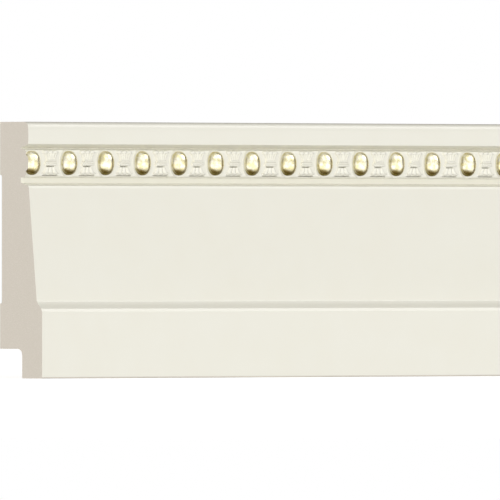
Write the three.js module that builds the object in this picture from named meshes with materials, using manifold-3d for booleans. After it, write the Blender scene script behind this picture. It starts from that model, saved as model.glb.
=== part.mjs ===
// Skirting board with a row of gilded beads and fluted sheaves under its top fillet.
// Millimetres, +Z up. The length runs along X, the front faces -Y and the wall plane is y = 0.
// The section is drawn in two measures: depth, forward from the wall, and height, up from the floor.

import * as THREE from 'three';
import { mergeVertices } from 'three/addons/utils/BufferGeometryUtils.js';
import Module from 'manifold-3d';

const wasm = await Module();
wasm.setup();

// Overall sizes
const boardLength = 282.8;
const boardHeight = 100;
const footDepth = 23.4;

// Top fillet, with its rounded upper edge and its undercut lower edge
const crownDepth = 15.7;
const crownHeight = 8.7;
const crownRoundDepth = 2.4;
const crownRoundHeight = 3.2;
const crownUndercut = 1.65;

// Bead band: a flat fillet between two flat-bottomed quirks, bevelled along its upper edge
const quirkDepth = 11.5;
const upperQuirkHeight = 0.4;
const lowerQuirkHeight = 1.3;
const bandHeight = 10.95;
const bandDepth = 14.2;
const bandBevelHeight = 1.25;
const bandBevelRound = 0.8;
const bandRound = 0.8;

// Sloping fascia, with the shoulder above it
const shoulderDepth = 16.0;
const shoulderSlope = 1.3;
const shoulderRound = 0.7;
const fasciaFootDepth = 20.4;

// Base block, with its bevelled and rounded top edge, which meets the fascia in a small cove
const baseHeight = 29.3;
const fasciaCove = 1.2;
const baseBevelHeight = 2.1;
const baseRound = 1.4;

// Back: a rebate over the floor, and a shallow recess between two flat lands
const rebateDepth = 12.3;
const rebateHeight = 11.5;
const rebateRound = 2.8;
const lowerLandHeight = 17.7;
const upperLandHeight = 20.7;
const recessDepth = 1.0;
const recessRound = 1.4;

// Beads: half egg shapes, repeated along the band
const beadPitch = 20.2;
const firstBead = 3.3;
const beadWidth = 8.0;
const beadHeight = 9.8;
const beadRise = 2.7;
const beadSeat = 0.1;
const beadLift = 0.35;

// Sheaves: fluted bundles halfway between the beads, tied by two rings
const sheafTop = 4.95;
const petalFoot = 3.9;
const waistTop = 0.45;
const ringHeight = 0.87;
const ringWidth = 6.1;
const ringRise = 0.8;
const skirtTop = 1.6;
const plinthTop = 3.9;
const plinthFoot = 4.65;
const sheafWidth = 8.0;
const waistWidth = 4.2;
const sheafRise = 0.7;
const plinthRise = 0.95;
const fanFlutes = 5;
const skirtFlutes = 3;
const petalCount = 3;
const fluteDepth = 0.35;
const reliefRoot = 3;

// Smoothness of the facets
const curveSegments = 5;
const beadSides = 20;
const beadRings = 10;
const ringSides = 6;
const panelRows = 3;

// Levels worked out from the sizes above
const crownFoot = boardHeight - crownHeight;
const bandTop = crownFoot - crownUndercut - upperQuirkHeight;
const bandFoot = bandTop - bandHeight;
const shoulderTop = bandFoot - lowerQuirkHeight;
const ornamentMiddle = bandFoot + bandHeight / 2 + beadLift;
const recessTop = boardHeight - upperLandHeight;
const recessFoot = rebateHeight + lowerLandHeight;
const wallMountHeight = boardHeight - upperLandHeight / 2;

// The board's section, with x along -depth and y along height, as straight lines from corner to
// corner. Each corner gives its depth and height, and how far its rounding reaches back and on.
function boardSection() {
  const corners = [
    // Front, from the top down
    [crownDepth, boardHeight, crownRoundDepth, crownRoundHeight],
    [crownDepth, crownFoot],
    [quirkDepth, bandTop + upperQuirkHeight],
    [quirkDepth, bandTop],
    [bandDepth, bandTop - bandBevelHeight, bandBevelRound, bandBevelRound],
    [bandDepth, bandFoot, bandRound, bandRound],
    [quirkDepth, bandFoot],
    [quirkDepth, shoulderTop],
    [shoulderDepth, shoulderTop - shoulderSlope, shoulderRound, shoulderRound],
    [fasciaFootDepth, baseHeight, fasciaCove, fasciaCove],
    [footDepth, baseHeight - baseBevelHeight, baseRound, baseRound],
    // Underside and back, from the foot up
    [footDepth, 0],
    [rebateDepth, 0],
    [rebateDepth, rebateHeight, rebateRound, rebateRound],
    [0, rebateHeight],
    [0, recessFoot],
    [recessDepth, recessFoot, recessDepth, recessRound],
    [recessDepth, recessTop, recessRound, recessDepth],
    [0, recessTop],
    [0, boardHeight],
  ];
  const points = corners.map(([depth, height]) => new THREE.Vector2(-depth, height));
  const section = new THREE.Shape();
  section.moveTo(points.at(-1).x, points.at(-1).y);
  corners.forEach(([, , reachBack = 0, reachOn = 0], index) => {
    const corner = points[index];
    const before = points.at(index - 1);
    const after = points[(index + 1) % points.length];
    const start = corner.clone().lerp(before, reachBack / corner.distanceTo(before));
    const end = corner.clone().lerp(after, reachOn / corner.distanceTo(after));
    section.lineTo(start.x, start.y);
    if (reachBack > 0) section.quadraticCurveTo(corner.x, corner.y, end.x, end.y);
  });
  return section;
}

// A closed geometry as a solid that can be joined and cut
function toSolid(geometry) {
  const bare = geometry.clone();
  bare.deleteAttribute('normal');
  bare.deleteAttribute('uv');
  const merged = mergeVertices(bare, 1e-5);
  return new wasm.Manifold(new wasm.Mesh({
    numProp: 3,
    vertProperties: Float32Array.from(merged.attributes.position.array),
    triVerts: Uint32Array.from(merged.index.array),
  }));
}

// A solid as a geometry for a mesh
function toGeometry(solid) {
  const mesh = solid.getMesh();
  const geometry = new THREE.BufferGeometry();
  geometry.setAttribute('position', new THREE.BufferAttribute(mesh.vertProperties, 3));
  geometry.setIndex(new THREE.BufferAttribute(mesh.triVerts, 1));
  geometry.computeVertexNormals();
  return geometry;
}

// The plain board, cut square at both ends
function plainBoard() {
  const geometry = new THREE.ExtrudeGeometry(boardSection(),
    { depth: boardLength, bevelEnabled: false, curveSegments });
  const alongLength = new THREE.Matrix4().makeBasis(
    new THREE.Vector3(0, 1, 0), new THREE.Vector3(0, 0, 1), new THREE.Vector3(1, 0, 0));
  geometry.applyMatrix4(alongLength);
  return toSolid(geometry);
}

// An indexed geometry as a solid, from a flat list of coordinates and one of triangle corners
function solidFromPoints(points, triangles) {
  const geometry = new THREE.BufferGeometry();
  geometry.setAttribute('position', new THREE.BufferAttribute(Float32Array.from(points), 3));
  geometry.setIndex(triangles);
  return toSolid(geometry);
}

// An egg-shaped bead that shows its width and height where it leaves the band.
// Its centre lies deeper than the band's face by the seat, and its front is proud by the rise.
function bead(x) {
  const halfDepth = beadSeat + beadRise;
  const seatShare = beadSeat / halfDepth;
  const shown = Math.sqrt(1 - seatShare * seatShare);
  const geometry = new THREE.SphereGeometry(1, beadSides, beadRings);
  geometry.scale(beadWidth / 2 / shown, halfDepth, beadHeight / 2 / shown);
  geometry.translate(x, beadSeat - bandDepth, ornamentMiddle);
  return toSolid(geometry);
}

// A relief panel on the band between two offsets from the middle of the ornament. halfWidth is a
// function of the offset, and the front is fluted with rounded ribs.
function reliefPanel(x, foot, top, rows, halfWidth, rise, ribs) {
  const columns = ribs * 2;
  const front = [];
  const back = [];
  for (let row = 0; row <= rows; row++) {
    const offset = foot + (top - foot) * row / rows;
    for (let column = 0; column <= columns; column++) {
      const across = (column / columns * 2 - 1) * halfWidth(offset);
      const groove = column % 2 === 0 ? fluteDepth : 0;
      front.push(x + across, groove - bandDepth - rise, ornamentMiddle + offset);
      back.push(x + across, reliefRoot - bandDepth, ornamentMiddle + offset);
    }
  }
  const backStart = front.length / 3;
  const at = (row, column) => row * (columns + 1) + column;
  const triangles = [];
  const quad = (a, b, c, d) => triangles.push(a, b, c, a, c, d);
  for (let row = 0; row < rows; row++) {
    for (let column = 0; column < columns; column++) {
      const corners = [at(row, column), at(row, column + 1),
        at(row + 1, column + 1), at(row + 1, column)];
      quad(...corners);
      quad(...corners.map((corner) => corner + backStart).reverse());
    }
    for (const [column, lower, upper] of [[0, row + 1, row], [columns, row, row + 1]]) {
      const a = at(lower, column);
      const b = at(upper, column);
      quad(a, a + backStart, b + backStart, b);
    }
  }
  for (let column = 0; column < columns; column++) {
    const foot0 = at(0, column);
    const foot1 = at(0, column + 1);
    quad(foot1, foot0, foot0 + backStart, foot1 + backStart);
    const top0 = at(rows, column);
    const top1 = at(rows, column + 1);
    quad(top0, top1, top1 + backStart, top0 + backStart);
  }
  return solidFromPoints([...front, ...back], triangles);
}

// Half the width of a sheaf: its sides follow an oval round each bead
function sheafSide(offset) {
  const halfPitch = beadPitch / 2;
  const clearAtWaist = halfPitch - waistWidth / 2;
  const clearAtTop = halfPitch - sheafWidth / 2;
  const ovalHalfHeight = petalFoot / Math.sqrt(1 - (clearAtTop / clearAtWaist) ** 2);
  const share = offset / ovalHalfHeight;
  return halfPitch - clearAtWaist * Math.sqrt(1 - share * share);
}

// A small roll tied round the sheaf's waist
function ring(x, offset) {
  const geometry = new THREE.CylinderGeometry(1, 1, ringWidth, ringSides);
  geometry.rotateZ(Math.PI / 2);
  geometry.rotateX(Math.PI / ringSides);
  geometry.scale(1, ringRise, ringHeight / 2);
  geometry.translate(x, -bandDepth, ornamentMiddle + offset);
  return toSolid(geometry);
}

// One sheaf: a fan of flutes with petals on top, two rings, and a flared skirt on a plinth
function sheaf(x) {
  const fullWidth = () => sheafWidth / 2;
  const fan = reliefPanel(x, waistTop, petalFoot, panelRows, sheafSide, sheafRise, fanFlutes);
  const petals = reliefPanel(x, petalFoot, sheafTop, 1, fullWidth, plinthRise, petalCount);
  const skirt = reliefPanel(x, -plinthTop, -skirtTop, panelRows, sheafSide, sheafRise, skirtFlutes);
  const plinth = reliefPanel(x, -plinthFoot, -plinthTop, 1, fullWidth, plinthRise, petalCount);
  const upperRing = ring(x, waistTop - ringHeight / 2);
  const lowerRing = ring(x, waistTop - ringHeight * 1.5);
  return fan.add(petals).add(skirt).add(plinth).add(upperRing).add(lowerRing);
}

// The whole row of beads and sheaves, cut square at the board's ends
function ornamentRow() {
  let row = null;
  const join = (solid) => {
    row = row ? row.add(solid) : solid;
  };
  const reach = beadPitch / 2;
  for (let x = firstBead; x - reach < boardLength; x += beadPitch) {
    join(bead(x));
    join(sheaf(x + reach));
  }
  const cutter = new THREE.BoxGeometry(boardLength, footDepth * 2, boardHeight);
  cutter.translate(boardLength / 2, 0, boardHeight / 2);
  return row.intersect(toSolid(cutter));
}

const ivoryFilm = new THREE.MeshStandardMaterial({ color: 0xebe8dc, roughness: 0.5, metalness: 0 });
const board = new THREE.Mesh(toGeometry(plainBoard().add(ornamentRow())), ivoryFilm);
board.name = 'skirting_board';
board.position.set(-boardLength / 2, 0, -wallMountHeight);

const skirting = new THREE.Group();
skirting.add(board);

export default skirting;
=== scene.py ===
# %% [markdown]
# The real board is extruded foamed polystyrene, pressed into shape and wrapped in an ivory film.
# A hot stamp then lays pale gold foil on the row of beads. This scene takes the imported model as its
# frame, and dresses it in one piece of the same size, with the finer relief of the moulding.

# %% Load the frame
import math

import bmesh
import bpy
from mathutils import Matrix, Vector


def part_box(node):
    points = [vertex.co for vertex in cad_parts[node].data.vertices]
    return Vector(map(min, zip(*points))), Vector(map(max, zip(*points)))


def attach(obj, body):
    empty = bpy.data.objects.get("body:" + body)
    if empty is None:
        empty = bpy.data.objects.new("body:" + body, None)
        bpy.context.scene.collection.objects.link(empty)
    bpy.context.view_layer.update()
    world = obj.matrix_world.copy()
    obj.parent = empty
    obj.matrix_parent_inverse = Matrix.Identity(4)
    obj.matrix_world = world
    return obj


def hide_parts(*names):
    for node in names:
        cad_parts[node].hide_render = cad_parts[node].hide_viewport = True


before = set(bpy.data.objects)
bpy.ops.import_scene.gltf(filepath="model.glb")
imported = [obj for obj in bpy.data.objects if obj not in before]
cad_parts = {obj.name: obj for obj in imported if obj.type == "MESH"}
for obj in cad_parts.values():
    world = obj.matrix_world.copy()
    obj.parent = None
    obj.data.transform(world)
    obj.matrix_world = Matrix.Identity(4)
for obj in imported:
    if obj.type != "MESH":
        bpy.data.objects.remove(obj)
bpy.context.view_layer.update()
board_low, board_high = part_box("skirting_board")
MM = 0.001
board_length = (board_high.x - board_low.x) / MM
board_height = (board_high.z - board_low.z) / MM
foot_depth = (board_high.y - board_low.y) / MM
print(f"board {board_length:.1f} long, {board_height:.1f} high, {foot_depth:.1f} mm thick")

# %% [markdown]
# A place on the board is given as it would be on a drawing: millimetres along from the left end,
# depth forward from the wall, and height up from the floor. One function turns that into the frame.

# %% Places on the board


def place(along, depth, height):
    return Vector((
        board_low.x + along * MM,
        board_high.y - depth * MM,
        board_low.z + height * MM,
    ))


print("foot of the left end:", tuple(round(v, 4) for v in place(0, foot_depth, 0)))

# %% [markdown]
# Colours are picked as sRGB hex values, the way a paint chart gives them, but a shader adds light,
# so it needs linear values. The second helper adds one node with its settings and its links.

# %% Helpers for materials


def linear(hex_colour):
    channels = [int(hex_colour[i:i + 2], 16) / 255 for i in (1, 3, 5)]
    low = [c / 12.92 for c in channels]
    high = [((c + 0.055) / 1.055) ** 2.4 for c in channels]
    return [h if c > 0.04045 else l for c, l, h in zip(channels, low, high)] + [1.0]


def shown(sockets, name):
    """A node that works on several kinds of data has a socket of each kind under one name."""
    return next(socket for socket in sockets if socket.name == name and socket.enabled)


def add_node(tree, kind, inputs=None, **settings):
    node = tree.nodes.new(kind)
    for name, value in settings.items():
        setattr(node, name, value)
    for name, value in (inputs or {}).items():
        socket = node.inputs[name] if isinstance(name, int) else shown(node.inputs, name)
        if isinstance(value, bpy.types.NodeSocket):
            tree.links.new(value, socket)
        else:
            socket.default_value = value
    return node


def new_material(name):
    material = bpy.data.materials.new(name)
    material.use_nodes = True
    tree = material.node_tree
    tree.nodes.clear()
    place_on_piece = add_node(tree, "ShaderNodeTexCoord").outputs["Object"]
    return material, tree, place_on_piece


def finish_material(tree, inputs):
    shader = add_node(tree, "ShaderNodeBsdfPrincipled", inputs)
    add_node(tree, "ShaderNodeOutputMaterial", {"Surface": shader.outputs["BSDF"]})


print("ivory in linear light:", [round(c, 3) for c in linear("#EDEBE0")])

# %% [markdown]
# The film is a printed vinyl, laminated warm over the foam. It is a satin ivory, nearly even in
# colour, and it shows a very slight waviness where it bridges the pores of the foam below.

# %% Ivory film


def ivory_vinyl_film():
    material, tree, spot = new_material("ivory_vinyl_film")
    cloud_size = 14
    pore_size = 0.9
    cloud = add_node(tree, "ShaderNodeTexNoise",
                     {"Vector": spot, "Scale": 1 / (cloud_size * MM), "Detail": 2.0})
    colour = add_node(tree, "ShaderNodeMix", {
        "Factor": cloud.outputs["Fac"],
        "A": linear("#EDEADC"),
        "B": linear("#EFEDE1"),
    }, data_type="RGBA")
    pores = add_node(tree, "ShaderNodeTexNoise",
                     {"Vector": spot, "Scale": 1 / (pore_size * MM), "Detail": 3.0})
    bump = add_node(tree, "ShaderNodeBump", {
        "Height": pores.outputs["Fac"],
        "Strength": 0.12,
        "Distance": 0.02 * MM,
    })
    finish_material(tree, {
        "Base Color": shown(colour.outputs, "Result"),
        "Roughness": 0.24,
        "IOR": 1.5,
        "Normal": bump.outputs["Normal"],
    })
    return material


ivory = ivory_vinyl_film()
print("made", ivory.name)

# %% [markdown]
# Hot-stamped foil is a layer of metal a few thousandths of a millimetre thick. It mirrors its
# surroundings like polished metal, but it follows every small unevenness of the foam under the
# stamp, so the reflections waver, and its gold is mottled, paler in one spot than in the next.
# Towards the foot of each bead the foil is painted browner: a painted shade in place of the dark the
# beads mirror below them.

# %% Pale gold foil
bead_foot_height = 79.2


def hot_stamped_gold_foil():
    material, tree, spot = new_material("hot_stamped_gold_foil")
    blotch_size = 1.8
    dent_size = 1.6
    painted_shade_height = 3.5
    blotch = add_node(tree, "ShaderNodeTexNoise",
                      {"Vector": spot, "Scale": 1 / (blotch_size * MM), "Detail": 3.0})
    pale = add_node(tree, "ShaderNodeMapRange", {
        "Value": blotch.outputs["Fac"],
        "From Min": 0.38,
        "From Max": 0.62,
    })
    foil_colour = add_node(tree, "ShaderNodeMix", {
        "Factor": pale.outputs["Result"],
        "A": linear("#E1D7A8"),
        "B": linear("#F6F1DA"),
    }, data_type="RGBA")
    parts = add_node(tree, "ShaderNodeSeparateXYZ", {"Vector": spot}).outputs
    # Painted shade: the foil fades to brown over the lowest few millimetres of each bead.
    above_painted_shade = add_node(tree, "ShaderNodeMapRange", {
        "Value": parts["Z"],
        "From Min": place(0, 0, bead_foot_height).z,
        "From Max": place(0, 0, bead_foot_height + painted_shade_height).z,
    }, interpolation_type="SMOOTHSTEP")
    # The brown mixed in here is painted shade at the foot of each bead, not a real mark on the foil.
    colour = add_node(tree, "ShaderNodeMix", {
        "Factor": above_painted_shade.outputs["Result"],
        "A": linear("#7A6A1A"),
        "B": shown(foil_colour.outputs, "Result"),
    }, data_type="RGBA")
    dents = add_node(tree, "ShaderNodeTexNoise",
                     {"Vector": spot, "Scale": 1 / (dent_size * MM), "Detail": 2.0})
    bump = add_node(tree, "ShaderNodeBump", {
        "Height": dents.outputs["Fac"],
        "Strength": 0.5,
        "Distance": 0.12 * MM,
    })
    finish_material(tree, {
        "Base Color": shown(colour.outputs, "Result"),
        "Metallic": 1.0,
        "Roughness": 0.27,
        "Normal": bump.outputs["Normal"],
    })
    return material


gold = hot_stamped_gold_foil()
print("made", gold.name)

# %% [markdown]
# Foamed polystyrene shows two faces. The die leaves a closed, matt skin with faint lines along
# the board. The saw opens the cells, about a third of a millimetre wide, on the two ends.

# %% Foam skin and sawn foam


def extruded_foam_skin():
    material, tree, spot = new_material("extruded_foam_skin")
    line_width = 0.6
    shortening = 0.02
    stretch = add_node(tree, "ShaderNodeMapping", {"Vector": spot, "Scale": (shortening, 1, 1)})
    lines = add_node(tree, "ShaderNodeTexNoise", {
        "Vector": stretch.outputs["Vector"],
        "Scale": 1 / (line_width * MM),
        "Detail": 2.0,
    })
    colour = add_node(tree, "ShaderNodeMix", {
        "Factor": lines.outputs["Fac"],
        "A": linear("#D6CFC2"),
        "B": linear("#DFD9CE"),
    }, data_type="RGBA")
    bump = add_node(tree, "ShaderNodeBump", {
        "Height": lines.outputs["Fac"],
        "Strength": 0.3,
        "Distance": 0.05 * MM,
    })
    finish_material(tree, {
        "Base Color": shown(colour.outputs, "Result"),
        "Roughness": 0.6,
        "Normal": bump.outputs["Normal"],
    })
    return material


def sawn_foam():
    material, tree, spot = new_material("sawn_foam")
    cell_size = 0.35
    cells = add_node(tree, "ShaderNodeTexVoronoi", {"Vector": spot, "Scale": 1 / (cell_size * MM)})
    colour = add_node(tree, "ShaderNodeMix", {
        "Factor": cells.outputs["Distance"],
        "A": linear("#D1C9BB"),
        "B": linear("#DBD3C7"),
    }, data_type="RGBA")
    bump = add_node(tree, "ShaderNodeBump", {
        "Height": cells.outputs["Distance"],
        "Strength": 0.4,
        "Distance": 0.08 * MM,
    })
    finish_material(tree, {
        "Base Color": shown(colour.outputs, "Result"),
        "Roughness": 0.85,
        "Normal": bump.outputs["Normal"],
    })
    return material


skin = extruded_foam_skin()
sawn = sawn_foam()
print("made", skin.name, "and", sawn.name)

# %% [markdown]
# The section follows the CAD drawing. A film never folds to a knife edge, so each sharp outer
# corner gets a small radius or a narrow slanted edge, which is what catches the light along a real
# moulding. Beside each radius a support line keeps flat faces flat when the shading is smoothed.

# %% Sizes of the section
crown_depth = 15.7
crown_height = 8.7
crown_round_depth = 2.4
crown_round_height = 3.2
crown_undercut = 1.5
quirk_depth = 11.5
upper_quirk_height = 0.2
band_height = 11.3
band_depth = 14.2
band_bevel_height = 0.5
band_round = 1.4
lower_quirk_height = 2.15
shoulder_depth = 16.0
shoulder_slope = 1.0
fascia_foot_depth = 20.4
fascia_cove = 0.3
base_height = 30.1
base_cove_depth = 21.3
base_cove_height = 28.8
base_cove_round = 0.7
base_bevel_height = 2.9
arris_round = 0.25
small_arris_depth = 0.35
small_arris_height = 0.9
base_arris_depth = 0.5
base_arris_height = 1.3
rebate_depth = 12.3
rebate_height = 11.5
rebate_round = 2.8
lower_land_height = 17.7
upper_land_height = 20.7
recess_depth = 1.0
recess_round = 1.4
soft_edge = 0.3
foot_round = 0.6

crown_foot = board_height - crown_height
band_top = crown_foot - crown_undercut - upper_quirk_height
band_foot = band_top - band_height
shoulder_top = band_foot - lower_quirk_height
shoulder_edge = shoulder_top - shoulder_slope
recess_top = board_height - upper_land_height
recess_foot = rebate_height + lower_land_height
print(f"bead band from {band_foot:.1f} to {band_top:.1f} mm above the floor")

# %% Sizes of the ornament
bead_pitch = 20.2
first_bead = 3.3
bead_width = 8.2
bead_height = 9.5
bead_rise = 2.7
bead_seat = 0.1
bead_lift = 0.03
bead_squareness = 2.3
bead_rings = 26
bead_sides = 56
collar_gap = 0.1
collar_width = 1.15
collar_rise = 0.32
collar_flattening = 0.75
clear_beside_bead = 5.8
ornament_middle = band_foot + band_height / 2 + bead_lift
print(f"{board_length / bead_pitch:.0f} repeats of {bead_pitch} mm")

# %% The section as rounded corners
arc_steps = 5
support = 0.15
film, foil, bare = 0, 1, 2


def rounded_outline(corners):
    """Each corner gives depth, height, how far its rounding reaches back and on, and the finish
    of the face that follows it."""
    outline = []
    for index, (depth, height, reach_back, reach_on, finish) in enumerate(corners):
        before = corners[index - 1]
        after = corners[(index + 1) % len(corners)]
        corner = Vector((depth, height))
        if reach_back == 0:
            outline.append((corner, finish))
            continue
        back = (Vector(before[:2]) - corner).normalized()
        on = (Vector(after[:2]) - corner).normalized()
        start = corner + back * reach_back
        end = corner + on * reach_on
        outline.append((start + back * support, before[4]))
        for step in range(arc_steps + 1):
            t = step / arc_steps
            bend = start * (1 - t) ** 2 + corner * 2 * t * (1 - t) + end * t ** 2
            outline.append((bend, finish))
        outline.append((end + on * support, finish))
    return outline


def arris(depth, height, back, down):
    """An outer corner with its edge taken off, a little back from the face and further down it."""
    return [(depth - back, height, arris_round, arris_round, film),
            (depth, height - down, arris_round, arris_round, film)]


def board_outline():
    soft = soft_edge
    round_in = recess_depth - soft - 2 * support
    return rounded_outline([
        # Upper back, top, crown and bead band
        (recess_depth, board_height / 2, 0, 0, bare),
        (recess_depth, recess_top, recess_round, round_in, bare),
        (0, recess_top, soft, soft, bare),
        (0, board_height, soft, soft, film),
        (crown_depth, board_height, crown_round_depth, crown_round_height, film),
        (crown_depth, crown_foot, soft, soft, film),
        (quirk_depth, band_top + upper_quirk_height, 0, 0, film),
        (quirk_depth, band_top, 0, 0, film),
        *arris(band_depth, band_top - band_bevel_height, small_arris_depth, small_arris_height),
        (band_depth, band_foot, band_round, band_round, film),
        (quirk_depth, band_foot, 0, 0, film),
        # Shoulder, fascia, base block and foot
        (quirk_depth, shoulder_top, 0, 0, film),
        *arris(shoulder_depth, shoulder_edge, small_arris_depth, small_arris_height),
        (fascia_foot_depth, base_height, fascia_cove, fascia_cove, film),
        (base_cove_depth, base_cove_height, base_cove_round, base_cove_round, film),
        *arris(foot_depth, base_height - base_bevel_height, base_arris_depth, base_arris_height),
        (foot_depth, 0, foot_round, foot_round, bare),
        # Underside, rebate and lower back
        (rebate_depth, 0, soft, soft, bare),
        (rebate_depth, rebate_height, rebate_round, rebate_round, bare),
        (0, rebate_height, soft, soft, bare),
        (0, recess_foot, soft, soft, bare),
        (recess_depth, recess_foot, round_in, recess_round, bare),
    ])


outline = board_outline()
print(len(outline), "points round the section")

# %% [markdown]
# Every ornament starts as a front patch, like a mask. Doubled at a depth inside the board and
# walled along its border, the mask becomes a closed solid, and solids can be joined for good.

# %% Closed solids
root_depth = 10.0


def new_solid(name, points, faces, finishes):
    """A mesh object from points in drawing millimetres, with a finish number for each face."""
    mesh = bpy.data.meshes.new(name)
    mesh.from_pydata([place(*point) for point in points], [], faces)
    mesh.materials.append(ivory)
    attribute = mesh.attributes.new("finish", "INT", "FACE")
    attribute.data.foreach_set("value", finishes)
    piece = bpy.data.objects.new(name, mesh)
    bpy.context.scene.collection.objects.link(piece)
    face_outwards(mesh)
    return piece


def face_outwards(mesh):
    bm = bmesh.new()
    bm.from_mesh(mesh)
    bmesh.ops.recalc_face_normals(bm, faces=bm.faces)
    bm.to_mesh(mesh)
    bm.free()


def relief_solid(name, front, faces, finish):
    count = len(front)
    back = [(along, root_depth, height) for along, _, height in front]
    edges = {(face[i - 1], face[i]) for face in faces for i in range(len(face))}
    border = [(a, b) for a, b in edges if (b, a) not in edges]
    behind = [tuple(corner + count for corner in reversed(face)) for face in faces]
    walls = [(b, a, a + count, b + count) for a, b in sorted(border)]
    solid = faces + behind + walls
    return new_solid(name, front + back, solid, [finish] * len(solid))


def grid_faces(rows, columns, closed=False):
    """Quads between the points of a grid, whose rows may close on themselves."""
    faces = []
    for row in range(rows - 1):
        for column in range(columns if closed else columns - 1):
            following = (column + 1) % columns
            faces.append((
                row * columns + column,
                row * columns + following,
                (row + 1) * columns + following,
                (row + 1) * columns + column,
            ))
    return faces


# %% [markdown]
# The board is drawn one repeat long, from one side of a bead to the same side of the next, because
# all of it repeats. Its two open ends are closed for now, so that ornaments can be joined to it.

# %% One repeat of the plain board
repeat_start = first_bead - clear_beside_bead
repeat_end = repeat_start + bead_pitch


def plain_repeat():
    count = len(outline)
    points = [(repeat_start, *point) for point, _ in outline]
    points += [(repeat_end, *point) for point, _ in outline]
    faces = [tuple(range(count)), tuple(reversed(range(count, 2 * count)))]
    finishes = [bare, bare]
    for index, (_, finish) in enumerate(outline):
        following = (index + 1) % count
        faces.append((index, following, following + count, index + count))
        finishes.append(finish)
    return new_solid("repeat_of_board", points, faces, finishes)


board = plain_repeat()
print(f"one repeat runs from {repeat_start:.1f} to {repeat_end:.1f} mm")

# %% [markdown]
# A bead is a whole egg sunk halfway into the band, a little squarer than an oval, so its outline is
# a superellipse. Rings of points run from its crest to the same point at its back. A faint collar
# lies round it, where the stamp pushed the film aside: a hairline from the bead it starts almost
# level with the band, rises slowly to a low rim, and drops off sharply.

# %% Bead and collar


def oval(turn, half_width, half_height):
    """A point on a superellipse, at a turn in radians."""
    power = 2 / bead_squareness
    across = math.copysign(abs(math.cos(turn)) ** power, math.cos(turn))
    up = math.copysign(abs(math.sin(turn)) ** power, math.sin(turn))
    return half_width * across, half_height * up


def egg_bead():
    half_depth = bead_seat + bead_rise
    centre_depth = band_depth - bead_seat
    crest = (first_bead, centre_depth + half_depth, ornament_middle)
    back = (first_bead, centre_depth - half_depth, ornament_middle)
    points = [crest, back]
    for ring in range(1, bead_rings):
        polar = math.pi * ring / bead_rings
        for side in range(bead_sides):
            across, up = oval(2 * math.pi * side / bead_sides, bead_width / 2, bead_height / 2)
            points.append((
                first_bead + across * math.sin(polar),
                centre_depth + half_depth * math.cos(polar),
                ornament_middle + up * math.sin(polar),
            ))
    faces = [tuple(corner + 2 for corner in quad)
             for quad in grid_faces(bead_rings - 1, bead_sides, closed=True)]
    last_ring = 2 + (bead_rings - 2) * bead_sides
    for side in range(bead_sides):
        following = (side + 1) % bead_sides
        faces.append((0, 2 + side, 2 + following))
        faces.append((1, last_ring + following, last_ring + side))
    return new_solid("bead", points, faces, [foil] * len(faces))


def band_face(height):
    """Depth of the plain band at a height, where the outline passes it on its way down."""
    for (upper, _), (lower, _) in zip(outline, outline[1:]):
        if upper.y >= height > lower.y:
            share = (upper.y - height) / (upper.y - lower.y)
            return upper.x + (lower.x - upper.x) * share


def collar():
    lift = collar_rise
    width = collar_width
    profile = [(collar_gap, 0.1 * lift), (0.4 * width, 0.4 * lift), (0.75 * width, 0.9 * lift),
               (0.88 * width, lift), (width, -0.3 * lift)]
    points = []
    for distance, rise in profile:
        for side in range(bead_sides):
            turn = 2 * math.pi * side / bead_sides
            across, up = oval(turn, bead_width / 2 + distance,
                              bead_height / 2 + distance * collar_flattening)
            height = ornament_middle + up
            points.append((first_bead + across, band_face(height) + rise, height))
    return relief_solid("collar", points, grid_faces(len(profile), bead_sides, True), film)


bead = egg_bead()
collar_ring = collar()
print(len(bead.data.vertices), "points in a bead")

# %% [markdown]
# Between the beads stands a sheaf: petals on top, a fan of flutes, two ties round the waist and a
# flared skirt on a scalloped plinth. It is lofted, as a boat's hull is, through stations from foot
# to top. A station gives its half width, the height of its crest, and how its ribs are grooved.

# %% Sheaf
sheaf_middle = first_bead + bead_pitch / 2
sheaf_width = 8.0
waist_width = 4.2
petal_foot = 3.9
plinth_half = 4.25
skirt_crest = 0.8
skirt_flute = 0.6
skirt_ribs = 3
fan_crest = 0.9
fan_flute = 0.75
fan_ribs = 5
tie_half = 3.05
tie_height = 0.66
tie_crest = 0.6
tie_bulge = 0.3
lower_tie = -0.635
upper_tie = 0.115
sheaf_columns = 30


def sheaf_side(offset):
    """Half the sheaf's width, between ovals drawn round the two beads beside it."""
    half_pitch = bead_pitch / 2
    clear_at_waist = half_pitch - waist_width / 2
    clear_at_top = half_pitch - sheaf_width / 2
    oval_half_height = petal_foot / math.sqrt(1 - (clear_at_top / clear_at_waist) ** 2)
    return half_pitch - clear_at_waist * math.sqrt(1 - (offset / oval_half_height) ** 2)


def between(a, b, steps):
    return [a + (b - a) * step / steps for step in range(steps + 1)]


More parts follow.
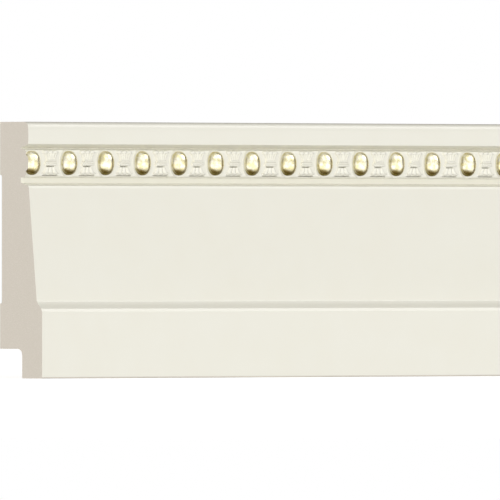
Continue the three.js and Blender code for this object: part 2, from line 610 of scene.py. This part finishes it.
def sheaf_stations():
    """Offset from the ornament's middle, half width, crest, flute depth, ribs, scallop."""
    half = sheaf_width / 2
    plinth = [(-4.7, plinth_half, -0.1, 0.0, 3, -0.3), (-4.55, plinth_half, 0.35, 0.1, 3, -0.3),
              (-4.1, plinth_half, 0.9, 0.15, 3, -0.2), (-3.8, half, 0.95, 0.1, 3, 0)]
    skirt = [(at, sheaf_side(at), skirt_crest, skirt_flute, skirt_ribs, 0)
             for at in between(-3.7, -1.6, 6)]
    neck = [(-1.5, 1.75, -0.2, 0, 3, 0), (-1.1, 1.75, -0.2, 0, 3, 0)]
    ties = []
    for tie_middle in (lower_tie, upper_tie):
        for turn in between(0, math.pi, 6):
            ties.append((tie_middle - tie_height / 2 * math.cos(turn), tie_half,
                         tie_crest + tie_bulge * math.sin(turn), 0.1, 1, 0))
    fan_foot = [(at, sheaf_side(at), crest, flute, fan_ribs, 0)
                for at, crest, flute in ((0.6, 0.95, 0.0), (0.95, 0.95, 0.05), (1.3, 0.7, 0.15))]
    fan = [(at, sheaf_side(at), fan_crest, fan_flute, fan_ribs, 0)
           for at in between(1.6, petal_foot - 0.1, 7)]
    petals = [(petal_foot, half, 1.0, 0.45, 3, 0), (4.5, half, 1.05, 0.6, 3, 0.1),
              (4.85, half, 0.85, 0.5, 3, 0.35), (5.0, half, 0.3, 0.3, 3, 0.4)]
    return plinth + skirt + neck + ties + fan_foot + fan + petals


def sheaf():
    points = []
    stations = sheaf_stations()
    for offset, half_width, crest, flute, ribs, scallop in stations:
        for column in range(sheaf_columns + 1):
            share = column / sheaf_columns
            across_rib = share * ribs % 1 * 2 - 1
            valley = across_rib ** 2 if 0 < share < 1 else 1
            points.append((
                sheaf_middle + (share * 2 - 1) * half_width,
                band_depth + crest - flute * valley,
                ornament_middle + offset - scallop * valley,
            ))
    faces = grid_faces(len(stations), sheaf_columns + 1)
    return relief_solid("sheaf", points, faces, film)


def slit(name, foot, top, half_width, depth):
    """A solid to cut a narrow dark line into the band, below the ties or below the plinth."""
    clear_of_relief = 2
    corners = [(-half_width, foot), (half_width, foot), (half_width, top), (-half_width, top)]
    front = [(sheaf_middle + across, band_depth + clear_of_relief, ornament_middle + offset)
             for across, offset in corners]
    back = [(along, band_depth - depth, height) for along, _, height in front]
    faces = [(0, 1, 2, 3), (7, 6, 5, 4)]
    faces += [(i, (i + 1) % 4, (i + 1) % 4 + 4, i + 4) for i in range(4)]
    return new_solid(name, front + back, faces, [film] * len(faces))


sheaf_solid = sheaf()
slits = [
    slit("slit_at_neck", foot=-1.6, top=-1.2, half_width=2.0, depth=1.8),
    slit("slit_at_foot", foot=-5.12, top=-4.72, half_width=plinth_half, depth=2.0),
]
print(len(sheaf_solid.data.vertices), "points in a sheaf")

# %% [markdown]
# A union melts the ornaments into the board, as the stamp does. The two closing faces come off
# again, so that repeats can be joined end to end without walls inside the board.

# %% Join the ornaments to the repeat


def applied(piece, name):
    """A new object with the piece's modifiers made real."""
    graph = bpy.context.evaluated_depsgraph_get()
    mesh = bpy.data.meshes.new_from_object(piece.evaluated_get(graph))
    mesh.name = name
    made = bpy.data.objects.new(name, mesh)
    bpy.context.scene.collection.objects.link(made)
    return made


def joined(base, ornaments, cutters, name):
    for tool in ornaments + cutters:
        step = base.modifiers.new(tool.name, "BOOLEAN")
        step.operation = "DIFFERENCE" if tool in cutters else "UNION"
        step.solver = "EXACT"
        step.object = tool
    made = applied(base, name)
    for used in [base] + ornaments + cutters:
        bpy.data.objects.remove(used)
    return made


def open_ends(piece):
    ends = (place(repeat_start, 0, 0).x, place(repeat_end, 0, 0).x)
    bm = bmesh.new()
    bm.from_mesh(piece.data)
    lids = [face for face in bm.faces
            if any(all(abs(v.co.x - end) < 1e-6 for v in face.verts) for end in ends)]
    bmesh.ops.delete(bm, geom=lids, context="FACES")
    bm.to_mesh(piece.data)
    bm.free()
    return len(lids)


repeat = joined(board, [bead, collar_ring, sheaf_solid], slits, "repeat_with_ornament")
lids = open_ends(repeat)
print(len(repeat.data.polygons), "faces in a repeat,", lids, "end faces taken off")

# %% [markdown]
# Geometry Nodes lay the repeat along the board. A mesh line gives one point for each place, an
# instance stands on each point, and realizing and merging them leaves one continuous skin.

# %% Repeat it along the board


def repeat_tree():
    tree = bpy.data.node_groups.new("repeat_along_board", "GeometryNodeTree")
    face = tree.interface
    face.new_socket("Geometry", in_out="INPUT", socket_type="NodeSocketGeometry")
    face.new_socket("Geometry", in_out="OUTPUT", socket_type="NodeSocketGeometry")
    for name, kind in (("Pitch", "Float"), ("Count", "Int"), ("Film", "Material"),
                       ("Foil", "Material"), ("Bare", "Material")):
        face.new_socket(name, in_out="INPUT", socket_type="NodeSocket" + kind)
    given = add_node(tree, "NodeGroupInput").outputs
    step = add_node(tree, "ShaderNodeCombineXYZ", {"X": given["Pitch"]})
    line = add_node(tree, "GeometryNodeMeshLine", {
        "Count": given["Count"],
        "Offset": step.outputs["Vector"],
    })
    copies = add_node(tree, "GeometryNodeInstanceOnPoints", {
        "Points": line.outputs["Mesh"],
        "Instance": given["Geometry"],
    })
    real = add_node(tree, "GeometryNodeRealizeInstances", {"Geometry": copies.outputs["Instances"]})
    merged = add_node(tree, "GeometryNodeMergeByDistance", {
        "Geometry": real.outputs["Geometry"],
        "Distance": 1e-6,
    })
    finish = add_node(tree, "GeometryNodeInputNamedAttribute", {"Name": "finish"}, data_type="INT")
    painted = merged.outputs["Geometry"]
    for number, name in ((film, "Film"), (foil, "Foil"), (bare, "Bare")):
        chosen = add_node(tree, "FunctionNodeCompare", {
            "A": shown(finish.outputs, "Attribute"),
            "B": number,
        }, data_type="INT", operation="EQUAL")
        painted = add_node(tree, "GeometryNodeSetMaterial", {
            "Geometry": painted,
            "Selection": chosen.outputs["Result"],
            "Material": given[name],
        }).outputs["Geometry"]
    add_node(tree, "NodeGroupOutput", {"Geometry": painted})
    return tree


def set_inputs(modifier, values):
    for socket in modifier.node_group.interface.items_tree:
        if socket.in_out == "INPUT" and socket.name in values:
            modifier[socket.identifier] = values[socket.name]


laid = repeat.modifiers.new("repeat", "NODES")
laid.node_group = repeat_tree()
set_inputs(laid, {
    "Pitch": bead_pitch * MM,
    "Count": math.ceil((board_length - repeat_start) / bead_pitch),
    "Film": ivory,
    "Foil": gold,
    "Bare": skin,
})
moulding = applied(repeat, "moulding")
bpy.data.objects.remove(repeat)
print(len(moulding.data.polygons), "faces,", [m.name for m in moulding.data.materials])

# %% [markdown]
# The saw cuts both ends square, wherever the row of beads happens to be. Each cut opens the skin,
# and one flat face of bare foam closes it again.

# %% Saw the ends


def saw(mesh, along, outward):
    bm = bmesh.new()
    bm.from_mesh(mesh)
    cut = bmesh.ops.bisect_plane(
        bm,
        geom=bm.verts[:] + bm.edges[:] + bm.faces[:],
        plane_co=place(along, 0, 0),
        plane_no=(outward, 0, 0),
        clear_outer=True,
        dist=1e-7,
    )
    rim = [item for item in cut["geom_cut"] if isinstance(item, bmesh.types.BMEdge)]
    ends = bmesh.ops.contextual_create(bm, geom=rim)["faces"]
    for face in ends:
        face.material_index = len(mesh.materials) - 1
    bmesh.ops.recalc_face_normals(bm, faces=bm.faces)
    open_edges = sum(1 for edge in bm.edges if not edge.is_manifold)
    bm.to_mesh(mesh)
    bm.free()
    return len(ends), open_edges


moulding.data.materials.append(sawn)
for along, outward in ((0, -1), (board_length, 1)):
    made, open_edges = saw(moulding.data, along, outward)
    print(f"end at {along:.0f} mm: {made} face, {open_edges} open edges")

# %% [markdown]
# Smooth shading bends light over the small facets, except where two faces meet at a real arris.

# %% Finish the piece
moulding.data.shade_smooth()
moulding.data.set_sharp_from_angle(angle=math.radians(32))
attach(moulding, "root")
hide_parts("skirting_board")
moulding.data.calc_loop_triangles()
print(len(moulding.data.loop_triangles), "triangles in the moulding")

# %% [markdown]
# The board stands on a plain pale floor, far larger than the view, so no edge of it shows close by.

# %% Floor


def pale_floor():
    floor_radius = 3.0
    material, tree, _ = new_material("pale_floor")
    finish_material(tree, {
        "Base Color": linear("#F4F3F1"),
        "Roughness": 0.9,
        "Emission Color": linear("#FFFFFF"),
        "Emission Strength": 0.55,
    })
    bm = bmesh.new()
    bmesh.ops.create_circle(bm, cap_ends=True, segments=96, radius=floor_radius)
    bmesh.ops.translate(bm, verts=bm.verts, vec=(0, 0, board_low.z))
    mesh = bpy.data.meshes.new("floor")
    bm.to_mesh(mesh)
    bm.free()
    mesh.materials.append(material)
    floor = bpy.data.objects.new("floor", mesh)
    bpy.context.scene.collection.objects.link(floor)
    floor.visible_glossy = False
    floor.visible_diffuse = False
    floor.visible_shadow = False
    return floor


pale_floor()
print("floor laid at", round(board_low.z, 5))

# %% [markdown]
# The photograph looks along the board from its left, turned 45 degrees and at the board's own
# height, with hardly any perspective. A long lens from far away gives the same drawing.

# %% Camera
view_turn = math.radians(45)
view_distance = 9.2
view_width = 196.55
sensor_width = 36
look = Vector((math.sin(view_turn), math.cos(view_turn), 0))
target = place(along=122.8, depth=15.0, height=50.04)

camera = bpy.data.objects.new("camera", bpy.data.cameras.new("camera"))
bpy.context.scene.collection.objects.link(camera)
camera.location = target - look * view_distance
camera.rotation_euler = look.to_track_quat("-Z", "Y").to_euler()
camera.data.sensor_width = sensor_width
camera.data.lens = sensor_width * view_distance / (view_width * MM)
camera.data.clip_end = 100
bpy.context.scene.camera = camera
print(f"lens {camera.data.lens:.0f} mm at {view_distance} m")

# %% [markdown]
# The light is a white studio: an even white all round, and one broad lamp just over the camera, so
# the grooves stay open and nothing throws a hard shadow. Gold has hardly any colour of its own
# except what it reflects, so reflections see surroundings of their own: pale walls with a bright
# table edge and a brown gap below it, darker to the left and behind the board. A large softbox
# stands in front of the board, and a small bright one beside it lights the slanted edges.

# %% Studio light


def ramp(tree, factor, stops):
    node = add_node(tree, "ShaderNodeValToRGB", {"Fac": factor})
    elements = node.color_ramp.elements
    while len(elements) < len(stops):
        elements.new(0.5)
    for element, (position, colour) in zip(elements, stops):
        element.position = position
        element.color = colour
    return node.outputs["Color"]


def level(brightness, tint="#FFFFFF"):
    return [brightness * channel for channel in linear(tint)[:3]] + [1.0]


def share_of_height(elevation):
    return (math.sin(math.radians(elevation)) + 1) / 2


def direction_to(turn_from_camera, elevation):
    """A direction from the board, turned from the camera to the picture's left, and raised."""
    turn = view_turn + math.radians(turn_from_camera)
    raised = math.radians(elevation)
    level_part = Vector((-math.sin(turn), -math.cos(turn), 0)) * math.cos(raised)
    return level_part + Vector((0, 0, math.sin(raised)))


def with_softbox(tree, direction, walls, centre, radius, edge, brightness):
    """The walls with a round softbox in front of them, all in degrees from its centre."""
    towards = add_node(tree, "ShaderNodeVectorMath", {0: direction, 1: centre},
                       operation="DOT_PRODUCT")
    inside = add_node(tree, "ShaderNodeMapRange", {
        "Value": towards.outputs["Value"],
        "From Min": math.cos(math.radians(radius + edge)),
        "From Max": math.cos(math.radians(radius)),
    })
    lit = add_node(tree, "ShaderNodeMix", {
        "Factor": inside.outputs["Result"],
        "A": walls,
        "B": level(brightness),
    }, data_type="RGBA")
    return shown(lit.outputs, "Result")


def darker_towards(tree, direction, walls, side, start, end, shade):
    """The walls fading to a shade, between two cosines of the angle to one side."""
    towards = add_node(tree, "ShaderNodeVectorMath", {0: direction, 1: side},
                       operation="DOT_PRODUCT")
    dimming = ramp(tree, towards.outputs["Value"], [(start, level(1.0)), (end, shade)])
    dimmed = add_node(tree, "ShaderNodeMix", {"Factor": 1.0, "A": walls, "B": dimming},
                      data_type="RGBA", blend_type="MULTIPLY")
    return shown(dimmed.outputs, "Result")


def studio_world():
    world = bpy.data.worlds.new("studio")
    world.use_nodes = True
    tree = world.node_tree
    tree.nodes.clear()
    direction = add_node(tree, "ShaderNodeTexCoord").outputs["Generated"]
    parts = add_node(tree, "ShaderNodeSeparateXYZ", {"Vector": direction})
    rise = add_node(tree, "ShaderNodeMapRange", {"Value": parts.outputs["Z"], "From Min": -1.0})
    bands = ramp(tree, rise.outputs["Result"], [
        (share_of_height(-75), level(0.5, "#C0A868")),
        (share_of_height(-42), level(0.5, "#C0A868")),
        (share_of_height(-20), level(1.75)),
        (share_of_height(-4), level(1.75)),
        (share_of_height(8), level(0.95)),
        (share_of_height(80), level(0.8)),
    ])
    fill = ramp(tree, rise.outputs["Result"], [
        (share_of_height(-62), level(0.05)),
        (share_of_height(-40), level(0.83)),
        (share_of_height(-10), level(0.76)),
        (share_of_height(10), level(0.5)),
    ])
    behind_board = look
    walls = darker_towards(tree, direction, bands, behind_board, start=0.1, end=0.5,
                           shade=level(0.2, "#B09060"))
    left_of_picture = direction_to(90, 0)
    walls = darker_towards(tree, direction, walls, left_of_picture, start=0.1, end=0.7,
                           shade=level(0.25, "#B09060"))
    in_front_of_board = direction_to(-54, 36)
    mirrored = with_softbox(tree, direction, walls, in_front_of_board, radius=12, edge=14,
                            brightness=1.7)
    where_slanted_edges_look = direction_to(-100, 29)
    mirrored = with_softbox(tree, direction, mirrored, where_slanted_edges_look, radius=7, edge=8,
                            brightness=3.7)
    path = add_node(tree, "ShaderNodeLightPath").outputs
    reflected = add_node(tree, "ShaderNodeMix", {
        "Factor": path["Is Glossy Ray"],
        "A": fill,
        "B": mirrored,
    }, data_type="RGBA")
    seen = add_node(tree, "ShaderNodeMix", {
        "Factor": path["Is Camera Ray"],
        "A": shown(reflected.outputs, "Result"),
        "B": level(1.0),
    }, data_type="RGBA")
    light = add_node(tree, "ShaderNodeBackground", {"Color": shown(seen.outputs, "Result")})
    add_node(tree, "ShaderNodeOutputWorld", {"Surface": light.outputs["Background"]})
    return world


def lamp_over_camera():
    lamp_width = 35
    lamp_strength = 1.66
    data = bpy.data.lights.new("broad_lamp", "SUN")
    data.energy = lamp_strength
    data.angle = math.radians(lamp_width)
    lamp = bpy.data.objects.new("broad_lamp", data)
    lamp.visible_glossy = False
    towards_lamp = direction_to(0, 3)
    lamp.rotation_euler = (-towards_lamp).to_track_quat("-Z", "Y").to_euler()
    bpy.context.scene.collection.objects.link(lamp)


bpy.context.scene.world = studio_world()
lamp_over_camera()
bpy.context.scene.view_settings.view_transform = "Standard"
print("studio lit")
